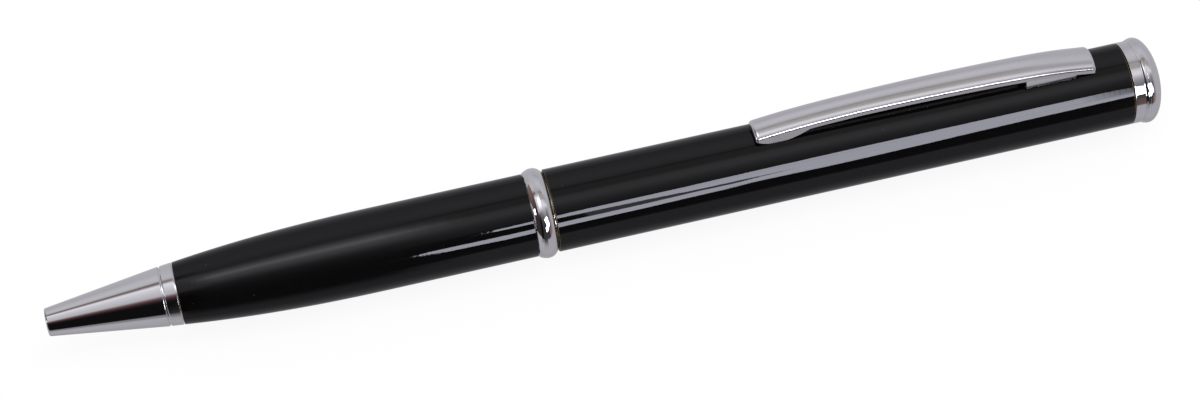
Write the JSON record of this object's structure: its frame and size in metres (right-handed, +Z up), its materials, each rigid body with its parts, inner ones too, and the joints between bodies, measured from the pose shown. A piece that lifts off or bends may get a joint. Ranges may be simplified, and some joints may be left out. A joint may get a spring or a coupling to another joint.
{
  "type": "ballpoint pen with hidden knife blade",
  "caption": "Twist ballpoint pen with a slim lacquered barrel, chrome trim and spring clip; the cap pulls off to bare a small single-edged blade.",
  "frame": {"origin": "on the surface the pen lies on, under the middle of its length and its axis", "axes": "+X along the pen from the writing tip to the finial, +Z up through the pocket clip, +Y to the side"},
  "size_m": [0.1402, 0.0112, 0.0132],
  "materials": {
    "lacquer": "black gloss lacquer on brass tube",
    "chrome": "bright chrome plating, polished",
    "brass": "turned brass",
    "steel": "spring steel and ground pins",
    "blade_steel": "satin-ground stainless steel",
    "nickel": "nickel plating on brass",
    "plastic": "moulded black plastic",
    "rubber": "nitrile rubber"
  },
  "bodies": {
    "lower_half": {"front_bush": "chrome", "lower_barrel": "lacquer", "mechanism_housing": "brass", "rear_bush": "brass", "return_spring": "steel"},
    "nose": {"nose_cone": "chrome"},
    "refill": {"refill_ball": "steel", "refill_tip": "brass", "refill_tube": "nickel", "refill_tail_plug": "plastic", "refill_collar": "brass", "plunger": "plastic", "cross_pin": "steel"},
    "knife": {"cam_sleeve": "brass", "centre_ring": "chrome", "blade_carrier": "nickel", "grip_ring": "rubber", "blade": "blade_steel", "blade_pin_1": "steel", "blade_pin_2": "steel"},
    "cap": {"upper_barrel": "lacquer", "cap_liner": "plastic", "clip_anchor": "brass", "end_plug": "brass", "finial_band": "chrome", "finial_cap": "chrome"},
    "clip": {"pocket_clip": "chrome"}
  },
  "joints": [
    {"name": "twist", "type": "hinge", "parent": "lower_half", "child": "knife", "pos_m": [0, 0, 0.00562], "axis": [1, 0, 0], "range_deg": [0, 180]},
    {"name": "refill_slide", "type": "slide", "parent": "lower_half", "child": "refill", "axis": [-1, 0, 0], "range_m": [0, 0.0045], "deforming": ["return_spring"]},
    {"name": "cap_pull", "type": "slide", "parent": "knife", "child": "cap", "axis": [1, 0, 0], "range_m": [0, 0.062]},
    {"name": "nose_unscrew", "type": "slide", "parent": "lower_half", "child": "nose", "axis": [-1, 0, 0], "range_m": [0, 0.025]},
    {"name": "clip_flex", "type": "hinge", "parent": "cap", "child": "clip", "pos_m": [0.0616, 0, 0.01052], "axis": [0, 1, 0], "range_deg": [0, 4], "stiffness_Nm_per_rad": 1.5}
  ],
  "couplings": [
    {"joint": "refill_slide", "follows": "twist", "m_per_rad": 0.0014323}
  ]
}
